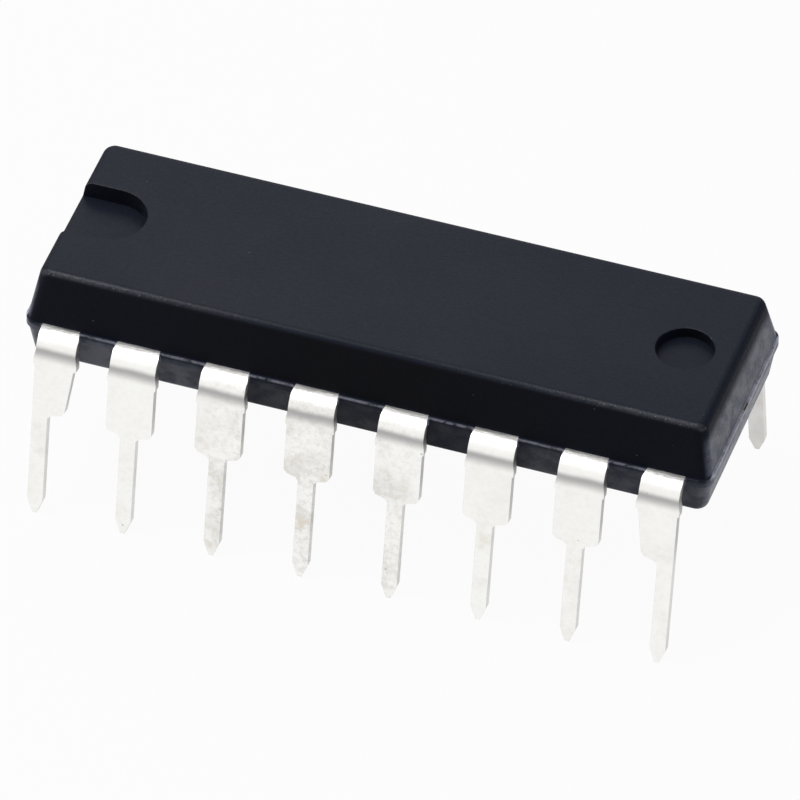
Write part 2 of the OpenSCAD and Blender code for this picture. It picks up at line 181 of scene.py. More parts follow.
class Shader:
    """The node tree of a material or of the room, with short ways to add to it."""

    def __init__(self, owner: bpy.types.Material | bpy.types.World) -> None:
        """Starts a tree with nothing but its output.

        Args:
            owner: what the tree belongs to.
        """
        owner.use_nodes = True
        self.owner = owner
        self.tree = owner.node_tree
        self.tree.nodes.clear()
        is_world = isinstance(owner, bpy.types.World)
        kind = "ShaderNodeOutputWorld" if is_world else "ShaderNodeOutputMaterial"
        self.output = self.node(kind)
        self._places: dict[str, Value] = {}

    @classmethod
    def of_material(cls, name: str) -> Shader:
        """A new material's tree."""
        return cls(bpy.data.materials.new(name))

    def node(
        self, kind: str, settings: dict | None = None, values: dict | None = None
    ) -> bpy.types.Node:
        """Adds one node.

        Args:
            kind: the node's type.
            settings: its own settings, set first.
            values: numbers, colours, sockets or Values for its inputs, by name or number.

        Returns:
            The node.
        """
        made = self.tree.nodes.new(kind)
        for name, setting in (settings or {}).items():
            setattr(made, name, setting)
        for name, value in (values or {}).items():
            self.feed(made.inputs[name], value)
        return made

    def feed(self, socket: bpy.types.NodeSocket, value: object) -> None:
        """Sets or links one input.

        Args:
            socket: the input.
            value: a number, colour, socket or Value.
        """
        if isinstance(value, Value):
            value = value.socket
        if isinstance(value, bpy.types.NodeSocket):
            self.tree.links.new(value, socket)
        elif isinstance(value, tuple) and len(value) == 3 and socket.type == "RGBA":
            socket.default_value = (*value, 1.0)
        else:
            socket.default_value = value

    def value(
        self,
        kind: str,
        settings: dict | None = None,
        values: dict | None = None,
        output: int | str = 0,
    ) -> Value:
        """Adds a node and takes one number from it.

        Args:
            kind: the node's type.
            settings: its settings.
            values: its inputs.
            output: the output's name or number.

        Returns:
            The output.
        """
        return Value(self, self.node(kind, settings, values).outputs[output])

    def place(self) -> bpy.types.NodeSocket:
        """The point on the part, in millimetres."""
        if "point" not in self._places:
            coordinates = self.node("ShaderNodeTexCoord")
            scaled = self.node(
                "ShaderNodeVectorMath",
                {"operation": "SCALE"},
                {0: coordinates.outputs["Object"], "Scale": 1 / MM},
            )
            self._places["point"] = Value(self, scaled.outputs["Vector"])
        return self._places["point"].socket

    def _part(self, name: str, axis: str, vector: bpy.types.NodeSocket) -> Value:
        """One coordinate of a vector, split once.

        Args:
            name: the vector's name.
            axis: X, Y or Z.
            vector: the vector.

        Returns:
            The coordinate.
        """
        if name + axis not in self._places:
            split = self.node("ShaderNodeSeparateXYZ", None, {0: vector})
            for letter in "XYZ":
                self._places[name + letter] = Value(self, split.outputs[letter])
        return self._places[name + axis]

    def along(self, axis: str) -> Value:
        """One coordinate of the point, in millimetres."""
        return self._part("point", axis, self.place())

    def facing(self, axis: str) -> Value:
        """How far the surface faces along an axis, from the piece's own attribute."""
        if "facing" not in self._places:
            made = self.node("ShaderNodeAttribute", {"attribute_name": FACING})
            self._places["facing"] = Value(self, made.outputs["Vector"])
        return self._part("facing", axis, self._places["facing"].socket)

    def stretched(self, stretch: Triple) -> bpy.types.NodeSocket:
        """The point with each coordinate multiplied.

        Args:
            stretch: the three factors.

        Returns:
            The vector.
        """
        values = {0: self.place(), 1: stretch}
        scaled = self.node("ShaderNodeVectorMath", {"operation": "MULTIPLY"}, values)
        return scaled.outputs["Vector"]

    def grain(
        self,
        per_mm: float,
        detail: float = 4.0,
        rough: float = 0.5,
        stretch: Triple = (1.0, 1.0, 1.0),
    ) -> Value:
        """Cloudy noise on the part.

        Args:
            per_mm: how many blotches there are in a millimetre.
            detail: octaves of finer noise.
            rough: how strong the finer octaves are.
            stretch: factors on the three coordinates, below 1 to draw the blotches out.

        Returns:
            The noise, around 0.5.
        """
        values = {
            "Vector": self.stretched(stretch),
            "Scale": per_mm,
            "Detail": detail,
            "Roughness": rough,
        }
        return self.value("ShaderNodeTexNoise", None, values, "Fac")

    def specks(self, per_mm: float, radius: float) -> Value:
        """Small round specks, one for each cell of a random grid.

        Args:
            per_mm: cells in a millimetre.
            radius: a speck's radius as a share of a cell.

        Returns:
            1 in a speck and 0 outside.
        """
        values = {"Vector": self.place(), "Scale": per_mm, "Randomness": 1.0}
        distance = self.value("ShaderNodeTexVoronoi", {"feature": "F1"}, values, "Distance")
        core = radius / 2
        return distance.between(radius, core)

    def mixed(self, share: Value, first: object, second: object) -> bpy.types.NodeSocket:
        """A colour between two.

        Args:
            share: how much of the second there is.
            first: a colour or a colour socket.
            second: a colour or a colour socket.

        Returns:
            The mixed colour.
        """
        made = self.node("ShaderNodeMix", {"data_type": "RGBA"})
        self.feed(made.inputs[MIX_SHARE], share)
        self.feed(made.inputs[MIX_FIRST], first)
        self.feed(made.inputs[MIX_SECOND], second)
        return made.outputs[MIX_RESULT]

    def bumped(self, height: Value, depth: float) -> bpy.types.NodeSocket:
        """A normal for a surface that rises and falls.

        Args:
            height: the rise, as a share of the depth.
            depth: the depth in millimetres.

        Returns:
            The normal.
        """
        values = {"Strength": 1.0, "Distance": depth * MM, "Height": height}
        return self.node("ShaderNodeBump", None, values).outputs["Normal"]

    def dress(self, values: dict) -> bpy.types.Material:
        """Puts the principled shader on the output.

        Args:
            values: its inputs.

        Returns:
            The material.
        """
        surface = self.node("ShaderNodeBsdfPrincipled", None, values)
        self.feed(self.output.inputs["Surface"], surface.outputs["BSDF"])
        return self.owner


@dataclass(frozen=True)
class Layout:
    """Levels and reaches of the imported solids, and the leads' splay in degrees.

    The ledge is how far the parting strip stands out of the walls, and the web how far the resin
    between two leads does. Clinging is how much further it reaches where it clings to a lead.
    """

    top: float
    base: float
    frame_top: float
    half_length: float
    half_width: float
    pad_reach: float
    ledge: float = 0.05
    web: float = 0.12
    clinging: float = 0.03
    splay: float = 9.7

    @classmethod
    def measured(cls) -> Layout:
        """Reads the levels and reaches off the frame.

        Returns:
            The layout, with half_width at the wall and half_length at the ledge.
        """
        body_low, body_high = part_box("body")
        pad_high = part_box("die_pad")[1]
        return cls(
            top=body_high[2] / MM,
            base=body_low[2] / MM,
            frame_top=pad_high[2] / MM,
            half_length=body_high[0] / MM,
            half_width=body_high[1] / MM - cls.web - cls.clinging,
            pad_reach=pad_high[0] / MM,
        )


@dataclass(frozen=True)
class Gloss:
    """Weights of the coat on the epoxy's regions, and what wear, handling and grain add to them."""

    top: float = 0.2
    top_loss: float = 0.05
    edge: float = 0.05
    edge_worn: float = 0.2
    edge_grain: float = 0.42
    side: float = 0.12
    side_worn: float = 0.38
    side_handled: float = 0.5
    side_cloud: float = 0.2
    end: float = 0.5
    end_blots: float = 0.36
    end_grain: float = 0.2
    least_blots: float = 0.65
    blots: float = 0.7
    least_grain: float = 0.35
    grain: float = 1.3


@dataclass(frozen=True)
class SkinMarks:
    """Weights of the epoxy's marks, and of the noises in its colour, gloss, roughness and bump."""

    cloud: float = 0.6
    fine: float = 0.4
    # How much lighter the painted shade on the walls is near the ends.
    wall_shade_eased: float = 0.35
    # How much paler the lower half is towards the ends and towards the notch's end.
    low_pale_near_ends: float = 0.27
    low_pale_near_notch: float = 0.25
    end_scuffs: float = 0.3
    # Weight of the light specks: dirt everywhere, and painted glints on the near rounded edge.
    dust_and_glints: float = 0.38
    side_line: float = 0.5
    clinging: float = 0.5
    end_line: float = 0.35
    end_line_ragged: float = 0.65
    rough_fine: float = 0.25
    rough_cloud: float = 0.15
    sand: float = 0.6
    fine_bump: float = 0.7


@dataclass(frozen=True)
class Epoxy:
    """Filled moulding compound, with the uneven gloss that the mould leaves on its skin."""

    layout: Layout
    gloss: Gloss = Gloss()
    marks: SkinMarks = SkinMarks()
    slate: Colour = (0.0075, 0.0102, 0.0205)
    pale: Colour = (0.0132, 0.0158, 0.0242)
    # Painted shade: the darker colour of the upper long walls and of the walls of the notch and the
    # mark.
    shade: Colour = (0.006, 0.0063, 0.0085)
    # Colour of the specks of dirt, and of the painted glints along the near rounded edge.
    fleck: Colour = (0.26, 0.27, 0.29)
    # The ends' paler, rougher skin, lightened further as painted sheen for their grazing
    # reflection; it also makes the lower half paler.
    pale_skin_and_sheen: Colour = (0.045, 0.055, 0.102)
    # Light lines on the parting edges: partly paler ragged resin, partly painted highlight.
    torn_and_highlit: Colour = (0.42, 0.43, 0.52)
    specular: float = 0.03
    roughness: float = 0.5
    coat_roughness: float = 0.42
    bump_depth: float = 0.02
    top_turn: Span = (0.8, 0.97)
    wall_turn: Span = (0.6, 0.9)
    end_turn: Span = (0.5, 0.92)
    edge_rise_turn: Span = (0.3, 0.5)
    edge_start_turn: Span = (0.15, 0.4)
    edge_stop_turn: Span = (0.85, 0.65)
    top_loss_span: Span = (-2.0, 8.0)
    notch_end_span: Span = (-2.0, -8.0)
    end_drop: Span = (0.3, 0.75)
    wall_rise: float = 0.08
    low_drop: float = 0.2
    worn_from: float = 1.0
    ledge_slack: float = 0.02
    line_out: Span = (0.03, 0.1)
    line_drop: Span = (0.06, 0.02)
    end_line_out: Span = (-0.015, -0.005)
    end_line_drop: Span = (0.12, 0.05)
    clinging_out: Span = (0.003, 0.015)
    ragged_share: Span = (0.3, 0.6)
    grain_share: Span = (0.38, 0.62)
    blot_share: Span = (0.35, 0.65)
    cloud_share: Span = (0.3, 0.7)
    fine_share: Span = (0.3, 0.75)
    end_share: Span = (0.25, 0.65)

    def _painted_shade_walls(self, shader: Shader) -> Value:
        """Where the upper long walls are, and the walls of the notch and the mark, which are
        darkened with painted shade.

        Args:
            shader: the material.

        Returns:
            1 on the walls and 0 elsewhere.
        """
        level = self.layout.frame_top
        upper = shader.along("Z").between(level, level + self.wall_rise)
        return abs(shader.facing("Y")).between(*self.wall_turn) * upper

    def _ends(self, shader: Shader) -> Value:
        """Where the ends are, below their upper edges.

        Args:
            shader: the material.

        Returns:
            1 on the ends and 0 elsewhere.
        """
        layout = self.layout
        start, stop = self.end_drop
        below = shader.along("Z").between(layout.top - start, layout.top - stop)
        reach = layout.half_length - self.ledge_slack
        ledge = abs(shader.along("X")).between(reach - layout.ledge, reach)
        return (abs(shader.facing("X")).between(*self.end_turn) * below + ledge).held()

    def _near_edge(self, shader: Shader) -> Value:
        """Where the top's rounded edge on the -Y side is, which handling has polished, and where
        light specks are painted glints.

        Args:
            shader: the material.

        Returns:
            1 on the edge and 0 elsewhere.
        """
        turned = -shader.facing("Y")
        rounded = turned.between(*self.edge_start_turn) * turned.between(*self.edge_stop_turn)
        height = shader.along("Z").between(self.layout.frame_top, self.layout.top)
        return rounded * (shader.facing("Z").between(*self.edge_rise_turn) * height)

    def _near_ends(self, shader: Shader) -> Value:
        """How near the ends a place on a long side is, where handling wears the gloss and the
        painted wall shade is lighter.
        """
        return abs(shader.along("X")).between(self.worn_from, self.layout.half_length)

    def _below(self, shader: Shader) -> Value:
        """Where the lower half is, under the leads."""
        level = self.layout.frame_top
        return shader.along("Z").between(level, level - self.low_drop)

    def _towards_notch_end(self, shader: Shader) -> Value:
        """How near the notch's end a place is, where the lower half is glossier and paler."""
        return shader.along("X").between(*self.notch_end_span)

    def _torn_and_highlit_edges(self, shader: Shader) -> Value:
        """Where the parting strip's outer edges, and the resin that clings to leads, tore: light
        lines, partly paler ragged resin and partly painted highlight along the crests.

        Args:
            shader: the material.

        Returns:
            1 along the edges and 0 elsewhere, patchy on the long sides.
        """
        layout = self.layout
        marks = self.marks
        off_side = abs(shader.along("Y")) - layout.half_width
        off_end = abs(shader.along("X")) - layout.half_length + layout.ledge
        off_line = abs(shader.along("Z") - layout.frame_top)
        line = off_side.between(*self.line_out) * off_line.between(*self.line_drop)
        start, stop = self.clinging_out
        clinging = off_side.between(layout.web + start, layout.web + stop)
        ragged = shader.grain(per_mm=5.0, rough=0.7).between(*self.ragged_share)
        sides = (line * marks.side_line + clinging * marks.clinging) * ragged
        end_line = off_end.between(*self.end_line_out) * off_line.between(*self.end_line_drop)
        ends = end_line * (marks.end_line + ragged * marks.end_line_ragged)
        return (sides + ends).held()

    def _skin(self, shader: Shader, cloud: Value, grain: Value) -> Value:
        """How glossy the skin is.

        Args:
            shader: the material.
            cloud: broad unevenness, around 0.5.
            grain: fine unevenness, around 0.5.

        Returns:
            The coat's weight.
        """
        gloss = self.gloss
        worn = self._near_ends(shader)
        ends = self._ends(shader)
        rough = grain.between(*self.grain_share)
        blots = shader.grain(per_mm=2.5, detail=3.0).between(*self.blot_share)
        loss = shader.along("X").between(*self.top_loss_span) * gloss.top_loss
        top = shader.facing("Z").between(*self.top_turn) * (gloss.top - loss)
        polish = gloss.edge + worn * (gloss.edge_worn + rough * gloss.edge_grain)
        clouded = cloud.between(*self.blot_share) * gloss.side_cloud
        handled = self._towards_notch_end(shader) * gloss.side_handled
        rubbed = gloss.side + worn * gloss.side_worn + handled + clouded
        patchy = gloss.least_blots + blots * gloss.blots
        sides = self._below(shader) * (1.0 - ends) * rubbed * patchy
        even = (top + sides) * (gloss.least_grain + grain * gloss.grain)
        end_coat = gloss.end + blots * gloss.end_blots + rough * gloss.end_grain
        return (even + self._near_edge(shader) * polish + ends * end_coat).held()

    def _colour(self, shader: Shader, cloud: Value, fine: Value) -> bpy.types.NodeSocket:
        """The skin's colour, with its walls darkened by painted shade, pale ends and lower half,
        light specks of dirt and painted glints, and light lines of ragged resin and painted
        highlight.

        Args:
            shader: the material.
            cloud: broad unevenness, around 0.5.
            fine: fine unevenness, around 0.5.

        Returns:
            The colour.
        """
        marks = self.marks
        worn = self._near_ends(shader)
        ends = self._ends(shader)
        clouds = cloud.between(*self.cloud_share) * marks.cloud
        mottle = clouds + fine.between(*self.fine_share) * marks.fine
        colour = shader.mixed(mottle.held(), self.slate, self.pale)
        # Painted shade darkens the walls, and is lighter near the ends.
        shaded = self._painted_shade_walls(shader) * (1.0 - worn * marks.wall_shade_eased)
        colour = shader.mixed(shaded, colour, self.shade)
        # The ends take the pale skin, which also carries painted sheen; the lower half grows paler
        # towards the ends and the notch's end.
        rubbed = worn * marks.low_pale_near_ends + self._towards_notch_end(shader) * marks.low_pale_near_notch
        pale_share = ends * fine.between(*self.end_share) + self._below(shader) * rubbed
        colour = shader.mixed(pale_share.held(), colour, self.pale_skin_and_sheen)
        # Light specks: scratches on the ends, dirt all over, and painted glints on the near rounded
        # edge that stand in for its grainy highlight.
        scuffed_and_glinting = self._near_edge(shader) * worn + ends * marks.end_scuffs
        scuffs_and_glints = shader.specks(per_mm=8.0, radius=0.24) * scuffed_and_glinting
        dust_and_glints = (shader.specks(per_mm=1.6, radius=0.035) + scuffs_and_glints) * marks.dust_and_glints
        colour = shader.mixed(dust_and_glints.held(), colour, self.fleck)
        # Light lines along the parting edges: ragged resin and painted highlight.
        return shader.mixed(self._torn_and_highlit_edges(shader), colour, self.torn_and_highlit)

    def material(self) -> bpy.types.Material:
        """Builds the material.

        Returns:
            The material.
        """
        marks = self.marks
        shader = Shader.of_material("moulded_epoxy")
        cloud = shader.grain(per_mm=0.35, detail=3.0)
        fine = shader.grain(per_mm=9.0, detail=5.0, rough=0.6)
        sand = shader.grain(per_mm=16.0, detail=3.0, rough=0.7)
        uneven = fine.swing() * marks.rough_fine + cloud.swing() * marks.rough_cloud
        grain = sand * marks.sand + fine * marks.fine
        return shader.dress(
            {
                "Base Color": self._colour(shader, cloud, fine),
                "Roughness": (self.roughness + uneven).held(),
                "Specular IOR Level": self.specular,
                "Coat Weight": self._skin(shader, cloud, grain),
                "Coat Roughness": self.coat_roughness,
                "Normal": shader.bumped(sand + fine * marks.fine_bump, self.bump_depth),
            }
        )


@dataclass(frozen=True)
class PlateMarks:
    """Weights of the tin's marks, and of the noises in its colour, roughness and bump."""

    patches: float = 0.4
    patches_low: float = 0.2
    spangle: float = 0.4
    spangle_low: float = 0.15
    unrubbed: float = 0.35
    stains: float = 0.25
    stains_low: float = 0.55
    stains_unrubbed: float = 0.4
    stains_rubbed: float = 0.6
    # How strong the painted shade band under the bend is.
    painted_lead_shade: float = 0.9
    # How strong the painted shade at the roots is.
    root: float = 0.6
    cut: float = 0.8
    cut_drawn: float = 0.5
    clean_pin: float = 0.5
    pits: float = 0.6
    rough_dull: float = 0.14
    rough_drawn: float = 0.2
    rough_cut: float = 0.1
    shade_band_gloss: float = 0.05
    fine_bump: float = 0.4


@dataclass(frozen=True)
class Tin:
    """Matt tin plate over copper alloy."""

    layout: Layout
    marks: PlateMarks = PlateMarks()
    bright: Colour = (0.95, 0.945, 0.92)
    dull: Colour = (0.76, 0.742, 0.712)
    stain: Colour = (0.74, 0.66, 0.54)
    # Painted shade: the dark band under each bend, for its dark reflection, and the shading where
    # the flat leaves the moulding.
    painted_lead_shade: Colour = (0.38, 0.375, 0.37)
    # The punched faces' colour, also laid on the inner faces as painted shade.
    punched: Colour = (0.36, 0.352, 0.345)
    pit: Colour = (0.45, 0.43, 0.4)
    roughness: float = 0.36
    bump_depth: float = 0.012
    drawn_stretch: Triple = (1.0, 1.0, 0.35)
    rubbed_middle: float = -1.3
    rubbed_reach: Span = (4.5, 1.5)
    low_drop: Span = (1.6, 2.6)
    shade_band_start: Span = (0.31, 0.48)
    shade_band_stop: Span = (0.84, 0.48)
    shade_band_wander: float = 0.08
    root_start: Span = (0.08, 0.15)
    root_stop: Span = (0.32, 0.18)
    side_turn: Span = (0.3, 0.6)
    worn_share: Span = (0.4, 0.65)
    spangle_share: Span = (0.42, 0.68)
    stain_share: Span = (0.52, 0.66)

    def _painted_shade_band(self, shader: Shader) -> Value:
        """Where the painted shade band lies under the bend, standing in for the dark reflection
        that the bend shows there.

        Args:
            shader: the material.

        Returns:
            1 in the wiped band and 0 elsewhere.
        """
        drop = self.layout.frame_top - shader.along("Z")
        wander = shader.grain(per_mm=1.2, detail=2.0).swing() * self.shade_band_wander
        below = drop + wander
        return below.between(*self.shade_band_start) * below.between(*self.shade_band_stop)

    def _root(self, shader: Shader) -> Value:
        """Where the flat of a lead comes out of the moulding, which is darkened there as painted
        shade.
        """
        off_wall = abs(shader.along("Y")) - self.layout.half_width
        return off_wall.between(*self.root_start) * off_wall.between(*self.root_stop)

    def _low(self, shader: Shader) -> Value:
        """Where the shoulders' lower part and the pins are."""
        start, stop = self.low_drop
        level = self.layout.frame_top
        return shader.along("Z").between(level - start, level - stop)

    def _rubbed(self, shader: Shader) -> Value:
        """How near the middle leads a place is, where the plating is rubbed most."""
        return abs(shader.along("X") - self.rubbed_middle).between(*self.rubbed_reach)

    def _marked(
        self, shader: Shader, colour: bpy.types.NodeSocket, drawn: Value, cut: Value, painted_lead_shade: Value
    ) -> bpy.types.NodeSocket:
        """The plating's colour with its painted shade band under the bend, painted shade at the
        roots and on the inner faces, cut edges and pits.

        Args:
            shader: the material.
            colour: the plating's colour.
            drawn: streaks along the leg, around 0.5.
            cut: 1 where the punch cut, and less on the inner faces, where it is painted shade.
            painted_lead_shade: 1 in the painted shade band under the bend.

        Returns:
            The colour.
        """
        marks = self.marks
        # Painted shade: the band under the bend and the shading at the roots.
        dark = painted_lead_shade * marks.painted_lead_shade + self._root(shader) * marks.root
        colour = shader.mixed(dark.held(), colour, self.painted_lead_shade)
        sideways = abs(shader.facing("X")).between(*self.side_turn)
        clean_pin = self._low(shader) * sideways * marks.clean_pin
        # The punched colour marks cut faces, and on the inner faces it is painted shade.
        bare = cut * (marks.cut + drawn.swing() * marks.cut_drawn) * (1.0 - clean_pin)
        colour = shader.mixed(bare, colour, self.punched)
        pits = shader.specks(per_mm=1.3, radius=0.06) * marks.pits
        return shader.mixed(pits, colour, self.pit)

    def material(self) -> bpy.types.Material:
        """Builds the material.

        Returns:
            The material.
        """
        marks = self.marks
        shader = Shader.of_material("tin_plate")
        worn = shader.grain(per_mm=0.9, detail=5.0, rough=0.65).between(*self.worn_share)
        blots = shader.grain(per_mm=1.7, detail=5.0, rough=0.65).between(*self.stain_share)
        spangle = shader.grain(per_mm=6.0, detail=3.0, rough=0.7).between(*self.spangle_share)
        drawn = shader.grain(per_mm=3.0, rough=0.6, stretch=self.drawn_stretch)
        # 1 on cut faces, less on the inner faces, where it is painted shade.
        cut = shader.value("ShaderNodeAttribute", {"attribute_name": CUT_AND_SHADE}, None, "Fac")
        low = self._low(shader)
        rubbed = self._rubbed(shader)
        painted_lead_shade = self._painted_shade_band(shader)
        patches = worn * (marks.patches + low * marks.patches_low)
        spangles = spangle * (marks.spangle + low * marks.spangle_low)
        dull = ((patches + spangles) * (marks.unrubbed + rubbed)).held()
        colour = shader.mixed(dull, self.bright, self.dull)
        stains = blots * worn * (marks.stains + low * marks.stains_low)
        stains *= marks.stains_unrubbed + rubbed * marks.stains_rubbed
        colour = shader.mixed(stains, colour, self.stain)
        uneven = dull * marks.rough_dull + drawn.swing() * marks.rough_drawn
        uneven += cut * marks.rough_cut - painted_lead_shade * marks.shade_band_gloss
        height = drawn + shader.grain(per_mm=14.0, detail=3.0) * marks.fine_bump
        return shader.dress(
            {
                "Base Color": self._marked(shader, colour, drawn, cut, painted_lead_shade),
                "Metallic": 1.0,
                "Roughness": (self.roughness + uneven).held(),
                "Normal": shader.bumped(height, self.bump_depth),
            }
        )


@dataclass(frozen=True)
class InnerMetal:
    """Metal inside the moulding, with a fine even grain."""

    name: str
    colour: Colour
    roughness: float = 0.3
    darkest: float = 0.8
    rough_grain: float = 0.2
    bump_depth: float = 0.004

    def _tint(self, shader: Shader, grain: Value) -> bpy.types.NodeSocket:
        """The metal's colour.

        Args:
            shader: the material.
            grain: its grain.

        Returns:
            The colour.
        """
        darker = tuple(part * self.darkest for part in self.colour)
        return shader.mixed(grain, self.colour, darker)

    def _metal(self, shader: Shader) -> Value | float:
        """How bare the metal is."""
        return 1.0

    def material(self) -> bpy.types.Material:
        """Builds the material.

        Returns:
            The material.
        """
        shader = Shader.of_material(self.name)
        grain = shader.grain(per_mm=12.0)
        return shader.dress(
            {
                "Base Color": self._tint(shader, grain),
                "Metallic": self._metal(shader),
                "Roughness": (self.roughness + grain.swing() * self.rough_grain).held(),
                "Normal": shader.bumped(grain, self.bump_depth),
            }
        )


@dataclass(frozen=True)
class PadMetal(InnerMetal):
    """The die pad's plate, whose tie bars end in tarnished sheared copper at the body's ends."""

    reach: float = 9.7
    sheared: Colour = (0.012, 0.011, 0.011)
    sheared_depth: Span = (0.1, 0.08)

    def _cut_ends(self, shader: Shader) -> Value:
        """Where the tie bars were sheared."""
        start, stop = self.sheared_depth
        return abs(shader.along("X")).between(self.reach - start, self.reach - stop)

    def _tint(self, shader: Shader, grain: Value) -> bpy.types.NodeSocket:
        """The plate's colour, darker where it was sheared.

        Args:
            shader: the material.
            grain: its grain.

        Returns:
            The colour.
        """
        plate = super()._tint(shader, grain)
        return shader.mixed(self._cut_ends(shader), plate, self.sheared)

    def _metal(self, shader: Shader) -> Value:
        """How bare the metal is: tarnished where it was sheared."""
        return 1.0 - self._cut_ends(shader)


@dataclass(frozen=True)
class Silicon:
    """The die's face, with its fine chequer of circuit blocks."""

    blue: Colour = (0.13, 0.15, 0.22)
    grey: Colour = (0.3, 0.3, 0.34)
    blocks_per_mm: float = 6.0
    disorder: float = 0.6
    metallic: float = 0.6
    roughness: float = 0.16
    rough_blocks: float = 0.2

    def material(self) -> bpy.types.Material:
        """Builds the material.

        Returns:
            The material.
        """
        shader = Shader.of_material("silicon")
        values = {
            "Vector": shader.place(),
            "Scale": self.blocks_per_mm,
            "Randomness": self.disorder,
        }
        metric = {"distance": "CHEBYCHEV"}
        blocks = shader.value("ShaderNodeTexVoronoi", metric, values, "Distance")
        return shader.dress(
            {
                "Base Color": shader.mixed(blocks.held(), self.blue, self.grey),
                "Metallic": self.metallic,
                "Roughness": (self.roughness + blocks * self.rough_blocks).held(),
            }
        )


@dataclass(frozen=True)
class SilverGlue:
    """Silver-filled glue under the die."""

    pale: Colour = (0.62, 0.6, 0.57)
    dark: Colour = (0.4, 0.39, 0.37)
    metallic: float = 0.5
    roughness: float = 0.4
    rough_flake: float = 0.2
    bump_depth: float = 0.005

    def material(self) -> bpy.types.Material:
        """Builds the material.

        Returns:
            The material.
        """
        shader = Shader.of_material("silver_glue")
        flake = shader.grain(per_mm=20.0)
        return shader.dress(
            {
                "Base Color": shader.mixed(flake, self.pale, self.dark),
                "Metallic": self.metallic,
                "Roughness": (self.roughness + flake * self.rough_flake).held(),
                "Normal": shader.bumped(flake, self.bump_depth),
            }
        )


def clean_copy(node: bpy.types.Object) -> bmesh.types.BMesh:
    """Copies a CAD node's mesh in millimetres, merged, with its flat faces whole.

    Args:
        node: the node's object.

    Returns:
        The copy.
    """
    shape = bmesh.new()
    shape.from_mesh(node.data)
    bmesh.ops.scale(shape, vec=(1 / MM,) * 3, verts=shape.verts)
    bmesh.ops.remove_doubles(shape, verts=shape.verts, dist=WELD_DISTANCE)
    bmesh.ops.dissolve_limit(
        shape, angle_limit=math.radians(FLAT_ANGLE), verts=shape.verts, edges=shape.edges
    )
    return shape


def soften(
    shape: bmesh.types.BMesh, edges: list[bmesh.types.BMEdge], radius: float, steps: int
) -> None:
    """Rounds some edges of a shape.

    Args:
        shape: the shape.
        edges: the edges.
        radius: how far the rounding reaches from each.
        steps: its steps.
    """
    bmesh.ops.bevel(
        shape,
        geom=edges,
        offset=radius,
        segments=steps,
        profile=0.5,
        affect="EDGES",
        material=-1,
        clamp_overlap=True,
    )


def is_sharp(edge: bmesh.types.BMEdge, turn: float) -> bool:
    """Whether two faces meet at an edge and turn by more than an angle there.

    Args:
        edge: the edge.
        turn: the angle in degrees.

    Returns:
        True if it is sharp.
    """
    return len(edge.link_faces) == 2 and edge.calc_face_angle() > math.radians(turn)


def corner_normals(shape: bmesh.types.BMesh, crease: float) -> list[Vector]:
    """Smooth normals that keep large flat faces flat beside their fillets.

    Args:
        shape: the shape.
        crease: the angle in degrees past which two faces don't blend.

    Returns:
        A normal for each corner of each face, weighted by the areas that meet there.
    """
    limit = math.cos(math.radians(crease))
    weighted = {face: face.normal * face.calc_area() for face in shape.faces}
    normals = []
    for face in shape.faces:
        for vert in face.verts:
            near = [other for other in vert.link_faces if other.normal.dot(face.normal) > limit]
            normals.append(sum((weighted[other] for other in near), Vector()).normalized())
    return normals


def finish_piece(
    shape: bmesh.types.BMesh, name: str, material: bpy.types.Material, crease: float
) -> bpy.types.Object:
    """Makes an object of a shape drawn in millimetres, riding on the part.

    Args:
        shape: the shape, which is freed.
        name: the piece's name.
        material: its finish.
        crease: the angle in degrees past which an edge stays sharp.

    Returns:
        The object.
    """
    shape.normal_update()
    normals = corner_normals(shape, crease)
    bmesh.ops.scale(shape, vec=(MM,) * 3, verts=shape.verts)
    mesh = bpy.data.meshes.new(name)
    shape.to_mesh(mesh)
    shape.free()
    mesh.shade_smooth()
    mesh.set_sharp_from_angle(angle=math.radians(crease))
    mesh.normals_split_custom_set(normals)
    facing = mesh.attributes.new(FACING, "FLOAT_VECTOR", "CORNER")
    facing.data.foreach_set("vector", [part for normal in normals for part in normal])
    mesh.materials.append(material)
    piece = bpy.data.objects.new(name, mesh)
    bpy.context.scene.collection.objects.link(piece)
    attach(piece, ROOT)
    return piece


